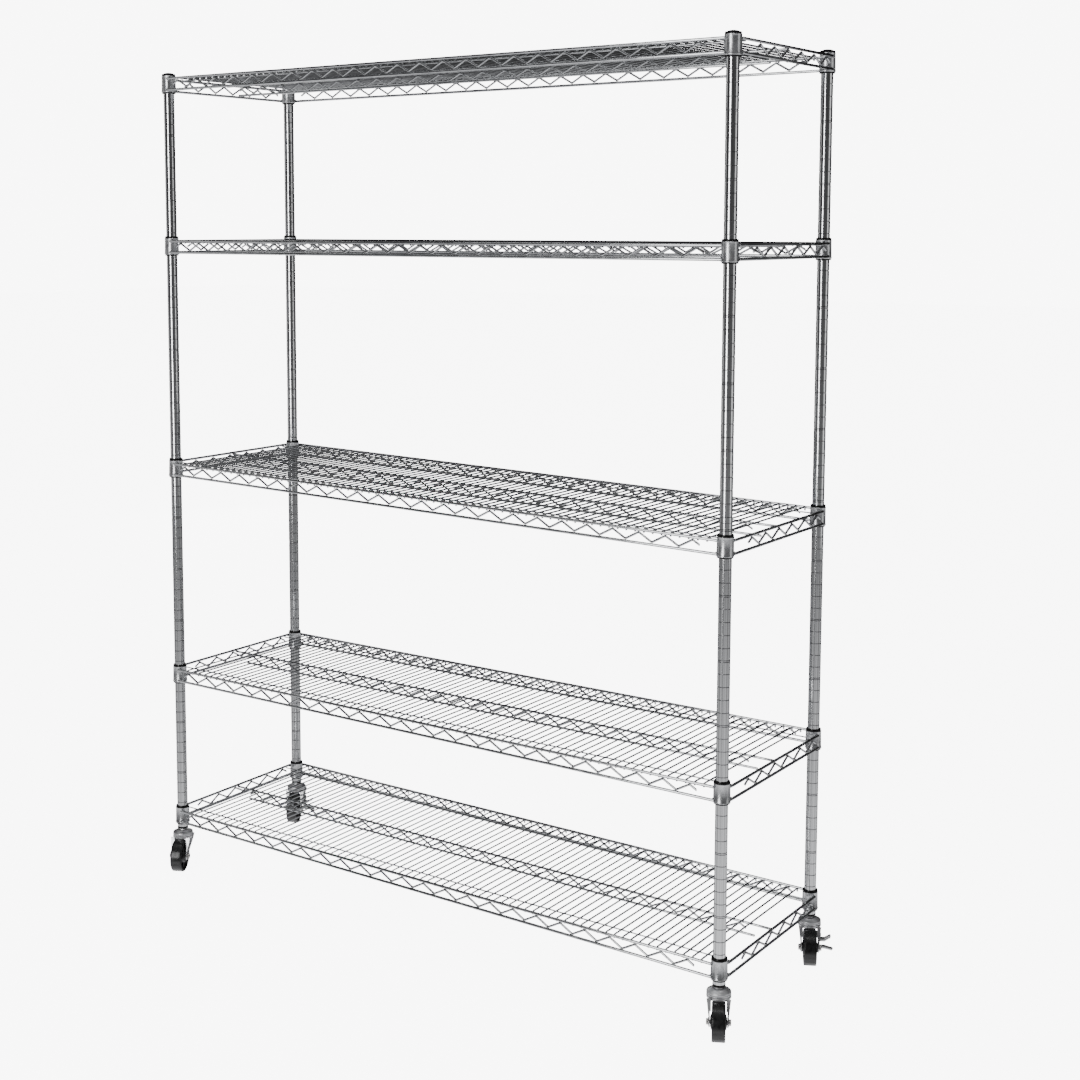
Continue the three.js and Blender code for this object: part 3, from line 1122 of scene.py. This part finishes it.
    def wheel(self) -> Piece:
        """Hard rubber wheel: rounded tread, dished sides, hub boss and spokes.

        Returns:
            The wheel as one piece, about its axle.
        """
        half = [
            (4.7, 16.2), (5.4, 16.7), (9.6, 16.7), (10.2, 15.6), (13.2, 15.4), (14.6, 14.6),
            (15.6, 13.6), (16.2, 12.8), (16.6, 11.4), (17.6, 9.9), (20, 9.4), (29.0, 9.4),
            (30.6, 10.2), (31.4, 12.6), (32.4, self.tread_half), (35.4, self.tread_half),
            (36.9, 13.1), (37.7, 12.3), (38.0, 11.0), (38.0, 7.0),
        ]
        profile = half + [(r, -y) for r, y in reversed(half)] + [half[0]]
        wheel = turned("wheel_body", profile, 48)
        rib = plate("spoke", [(15.6, -1.6), (31.4, -1.1), (31.4, 1.1), (15.6, 1.6)], 10.3, 3.2, 0.5)
        spokes = []
        for index in range(self.spokes):
            turn = Matrix.Rotation(math.tau * index / self.spokes, 4, "Y")
            spokes.append(copied(rib, "spoke_out", turn))
            flip = Matrix.Rotation(math.pi, 4, "Z") @ turn
            spokes.append(copied(rib, "spoke_in", flip))
        discard([rib])
        whole = joined("wheel", [self.lying(wheel), *spokes])
        return moved(whole, "wheel_placed", Matrix.Translation(self.axle_place))

    def axle(self) -> Piece:
        """Axle bolt with washers, a hexagon head and a nut past the legs.

        Returns:
            The bolt as one piece, about the axle.
        """
        outer = self.leg_inner + self.leg_thick + 0.1
        shank = turned("shank", [
            (0, -outer - 5.2), (3.2, -outer - 5.2), (3.9, -outer - 4.4), (3.9, outer + 2),
            (0, outer + 2),
        ], 16)
        pieces = [shank]
        for side in (-1, 1):
            near, far = sorted((side * outer, side * (outer + 1.2)))
            pieces.append(turned("washer", [
                (0, near), (7.6, near), (8.1, near + 0.4), (8.1, far - 0.4), (7.6, far), (0, far),
            ], 24))
            near, far = sorted((side * (outer + 1.2), side * (outer + 4.8)))
            pieces.append(self.hexagon("head", 6.9, near, far))
        bolt = self.lying(joined("bolt", pieces))
        return moved(bolt, "axle_placed", Matrix.Translation(self.axle_place))

    def brake(self) -> Piece:
        """Stamped side lever: plate, two foot ears, a curled lip, the shoe and its pivot.

        Returns:
            The lever as one piece, in the frame of its caster.
        """
        inside = self.leg_inner + self.leg_thick + 0.6
        side = plate("lever", [
            (-19, 46.5), (-19.2, 55), (-17, 58.6), (-8, 63.5), (2, 68), (9, 69.4), (15, 68.2),
            (17.6, 63), (16.6, 54), (14, 42), (12.6, 31), (11, 28.8), (2.6, 28.8), (0.8, 31),
            (-0.2, 40), (-2.4, 44.4), (-8, 45.4),
        ], inside + 1, 2, 0.6)
        upper = self.ear(15.0, 27.0, 49.0, 7.4, inside + 1, 7.0, 14.0)
        lower = self.ear(11.4, 29.0, 32.0, 7.0, inside + 1, -3.0, 34.0)
        shoe = plate("shoe", [
            (-18.6, 46.6), (-16.4, 46.6), (-16.2, 50), (-16.6, 56.4), (-18.8, 56.4),
        ], (inside + 1 - 9) / 2, inside + 10, 0.5)
        rivet = self.lying(turned("rivet", [
            (0, 15.0), (3.0, 15.0), (3.0, inside + 1), (5.6, inside + 1.6), (5.4, inside + 3.0),
            (4.0, inside + 4.0), (2.0, inside + 4.5), (0, inside + 4.6)], 18))
        placed = moved(rivet, "rivet_placed", Matrix.Translation(self.brake_pivot))
        return joined("brake", [side, upper, lower, shoe, placed])

    def ear(
        self, wide: float, reach: float, height: float, middle: float, root: float, rise: float,
        curl: float,
    ) -> Piece:
        """A foot ear that stands out from the lever and curls down at its lip.

        Args:
            wide: Its width along X.
            reach: How far it stands out, along Y.
            height: Height of its middle.
            middle: X of its middle.
            root: Y of the lever plate it grows from.
            rise: How far it climbs on its way out.
            curl: Degrees its lip turns down.

        Returns:
            The ear.
        """
        clear_bench()
        bpy.ops.mesh.primitive_cube_add(size=2 * MM, location=(0, 0, 0))
        ear = bpy.context.object
        ear.matrix_world = (Matrix.Translation(vec(middle, root + reach * 0.2, height))
                            @ Matrix.Diagonal((wide / 2, reach * 0.2, 2.4, 1.0)))
        bpy.ops.object.transform_apply(location=True, rotation=True, scale=True)
        bpy.ops.object.mode_set(mode="EDIT")
        pick_faces(ear, lambda face: face.normal.y > 0.9)
        pull(vec(0, reach * 0.4, rise))
        bpy.ops.transform.resize(value=(0.86, 1, 1), center_override=vec(middle, 0, height))
        spin_at = vec(middle, root + reach * 0.8, height + rise - 9.0)
        bpy.ops.mesh.spin(steps=4, angle=math.radians(curl), center=spin_at, axis=(1, 0, 0))
        bpy.ops.transform.resize(value=(0.7, 1, 1), center_override=vec(middle, 0, height))
        pick_all()
        bpy.ops.mesh.normals_make_consistent(inside=False)
        bpy.ops.mesh.bevel(offset=0.4 * MM, segments=2, affect="EDGES")
        close_up(ear)
        return soften(ear, 40)

    def build(self) -> None:
        """Model each caster part once."""
        self.patterns = {
            "race": self.stem(), "fork": self.fork(False), "braked_fork": self.fork(True),
            "wheel": self.wheel(), "axle": self.axle(), "brake": self.brake(),
        }

    def place(self) -> None:
        """Copy the parts under the four posts and dress them."""
        for corner in CORNERS:
            swivel = middle_of(f"caster_stem_{corner}")
            reach = middle_of(f"caster_wheel_{corner}") - swivel
            spot = (Matrix.Translation((swivel.x, swivel.y, 0))
                    @ Matrix.Rotation(math.atan2(reach.y, reach.x), 4, "Z"))
            braked = corner.startswith("back")
            fork_body = f"fork_{corner}"
            rows = [
                ("race", "swivel_race", ZINC, Slot.CASTER, "posts", f"caster_stem_{corner}"),
                ("braked_fork" if braked else "fork", "wheel_fork", ZINC, Slot.CASTER, fork_body,
                 f"caster_fork_{corner}"),
                ("axle", "axle_bolt", BOLT_ZINC, Slot.BOLT, fork_body, f"caster_axle_{corner}"),
                ("wheel", "rubber_wheel", HARD_RUBBER, Slot.WHEEL, f"wheel_{corner}",
                 f"caster_wheel_{corner}"),
            ]
            if braked:
                rows.append(("brake", "brake_lever", ZINC, Slot.BRAKE, f"brake_{corner}",
                             f"caster_brake_{corner}"))
            for pattern, name, finish, slot, body, node in rows:
                piece = copied(self.patterns[pattern], f"{name}_{corner}", spot)
                dress(piece, finish, slot, body, node)
            log.info("caster %s: %d pieces", corner, len(rows))
        discard(self.patterns.values())


# ---- studio -----------------------------------------------------------------
@dataclass
class Studio:
    """Pale floor, bright surroundings, soft lights and the camera."""

    camera_place: tuple[float, float, float] = (2186.6, -3003.6, 1578.2)
    yaw: float = 35.70
    pitch: float = 5.94
    lens: float = 55.64
    shift: tuple[float, float] = (0.0519, -0.1296)
    surround: float = 8.5
    floor_return: float = 0.4
    flag_edge: tuple[float, float] = (0.5, 0.75)
    flag_shade: float = 0.22
    room_shades: tuple[tuple[float, float], ...] = (
        (0.0, 1.6), (0.25, 1.3), (0.33, 0.6), (0.4, 0.2), (0.47, 0.075), (0.56, 0.045),
        (0.7, 0.13), (0.85, 0.11), (1.0, 0.45),
    )

    def camera(self) -> None:
        """Stand the camera to the right of the rack's front, a little above its middle."""
        bpy.ops.object.camera_add(
            location=vec(*self.camera_place),
            rotation=(math.radians(90 - self.pitch), 0, math.radians(self.yaw)))
        camera = bpy.context.object
        camera.name = "camera"
        camera.data.lens = self.lens
        camera.data.sensor_width = 36
        camera.data.shift_x, camera.data.shift_y = self.shift
        bpy.context.scene.camera = camera

    def floor(self) -> None:
        """Lay the plain pale floor, lit from beneath like the wall behind it."""
        clear_bench()
        bpy.ops.mesh.primitive_plane_add(size=60, location=(0, 0, 0))
        floor = bpy.context.object
        floor.name = "studio_floor"
        paint = Finish(
            "floor_white", (0.86, 0.86, 0.86), (0.83, 0.83, 0.83), (0.7, 0.8), 0.0, 900.0, 5.0)
        pale = paint.build()
        shader = pale.node_tree.nodes["Principled BSDF"]
        shader.inputs["Emission Color"].default_value = (1, 1, 1, 1)
        shader.inputs["Emission Strength"].default_value = self.surround - self.floor_return
        floor.data.materials.append(pale)
        floor.visible_glossy = False
        floor.visible_diffuse = False
        floor.visible_shadow = False

    def world(self) -> None:
        """Light the room: pale all round, and a darker studio for what the metal mirrors."""
        world = bpy.data.worlds.new("studio")
        bpy.context.scene.world = world
        world.use_nodes = True
        nodes, links = world.node_tree.nodes, world.node_tree.links
        backdrop = nodes["Background"]
        backdrop.inputs["Color"].default_value = (1, 1, 1, 1)
        backdrop.inputs["Strength"].default_value = self.surround
        room = add_node(nodes, "Background")
        place = add_node(nodes, "TexCoord")
        facing = place.outputs["Generated"]
        split = add_node(nodes, "SeparateXYZ")
        height = mapped(nodes, -1.0, 1.0, 0.0, 1.0)
        ramp = add_node(nodes, "ValToRGB")
        while len(ramp.color_ramp.elements) < len(self.room_shades):
            ramp.color_ramp.elements.new(0.5)
        for element, (spot, shade) in zip(ramp.color_ramp.elements, self.room_shades):
            element.position = spot
            element.color = (shade, shade, shade * 1.02, 1)
        clutter = add_node(nodes, "TexNoise", {"Scale": 2.6, "Detail": 1.5})
        patches = mapped(nodes, 0.4, 0.6, 0.6, 1.3)
        turn = math.radians(self.yaw)
        ahead = add_node(nodes, "VectorMath", {1: (-math.sin(turn), math.cos(turn), 0)})
        ahead.operation = "DOT_PRODUCT"
        flag = mapped(nodes, *self.flag_edge, 1.0, self.flag_shade)
        shaded = add_node(nodes, "Math")
        shaded.operation = "MULTIPLY"
        rays = add_node(nodes, "LightPath")
        mix = add_node(nodes, "MixShader")
        for source, socket in (
            (facing, split.inputs["Vector"]),
            (split.outputs["Z"], height.inputs["Value"]),
            (height.outputs["Result"], ramp.inputs["Fac"]),
            (ramp.outputs["Color"], room.inputs["Color"]),
            (facing, clutter.inputs["Vector"]),
            (clutter.outputs["Fac"], patches.inputs["Value"]),
            (facing, ahead.inputs[0]),
            (ahead.outputs["Value"], flag.inputs["Value"]),
            (patches.outputs["Result"], shaded.inputs[0]),
            (flag.outputs["Result"], shaded.inputs[1]),
            (shaded.outputs["Value"], room.inputs["Strength"]),
            (rays.outputs["Is Camera Ray"], mix.inputs["Fac"]),
            (room.outputs["Background"], mix.inputs[1]),
            (backdrop.outputs["Background"], mix.inputs[2]),
            (mix.outputs["Shader"], nodes["World Output"].inputs["Surface"]),
        ):
            links.new(source, socket)

    def softbox(
        self, name: str, place: tuple[float, float, float], aim: tuple[float, float, float],
        size: tuple[float, float], power: float,
    ) -> None:
        """Hang a soft rectangular light.

        Args:
            name: Name of the light.
            place: Where it hangs, in metres.
            aim: Point it faces, in metres.
            size: Width and height in metres.
            power: Watts.
        """
        facing = Vector(aim) - Vector(place)
        bpy.ops.object.light_add(
            type="AREA", location=place, rotation=facing.to_track_quat("-Z", "Y").to_euler())
        lamp = bpy.context.object
        lamp.name = name
        lamp.data.shape = "RECTANGLE"
        lamp.data.size, lamp.data.size_y = size
        lamp.data.energy = power
        lamp.visible_camera = False

    def build(self) -> None:
        """Set up the whole studio."""
        clear_bench()
        self.camera()
        self.floor()
        self.world()
        self.softbox("left_strip", (-4.6, -1.6, 1.9), (0, 0, 1.2), (1.4, 3.6), 10)
        self.softbox("right_strip", (4.6, 0.9, 1.9), (0, 0, 1.2), (1.8, 3.6), 17)
        self.softbox("front_strip", (0.2, -5.4, 2.0), (0, 0, 1.2), (1.5, 4.0), 150)
        self.softbox("top_strip", (0, -0.4, 4.8), (0, 0, 1.0), (4.2, 0.5), 22)
        self.softbox("back_strip", (-4.2, 3.6, 2.0), (0, 0, 1.2), (0.6, 3.6), 18)
        log.info("studio: floor, surroundings, 5 soft lights, camera")


def dress_spares() -> None:
    """Give every CAD node that is still shown the finish of its kind."""
    kinds = {
        "shelf": WIRE_CHROME, "post": POST_CHROME, "cap": BLACK_PLASTIC, "sleeve": BLACK_PLASTIC,
        "bushing": BLACK_PLASTIC, "caster": ZINC,
    }
    for name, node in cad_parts.items():
        if not node.hide_render:
            node.data.materials.clear()
            node.data.materials.append(kinds[name.split("_")[0]].build())
            log.info("CAD node %s shown", name)


def main() -> None:
    """Build the rack piece by piece, then the studio."""
    posts = GroovedPosts()
    posts.build()
    posts.place()
    ShelfSet().build()
    casters = Casters()
    casters.build()
    casters.place()
    dress_spares()
    Studio().build()
    clear_bench()


if __name__ == "__main__":
    logging.basicConfig(level=logging.INFO, format="%(name)s %(message)s")
    main()
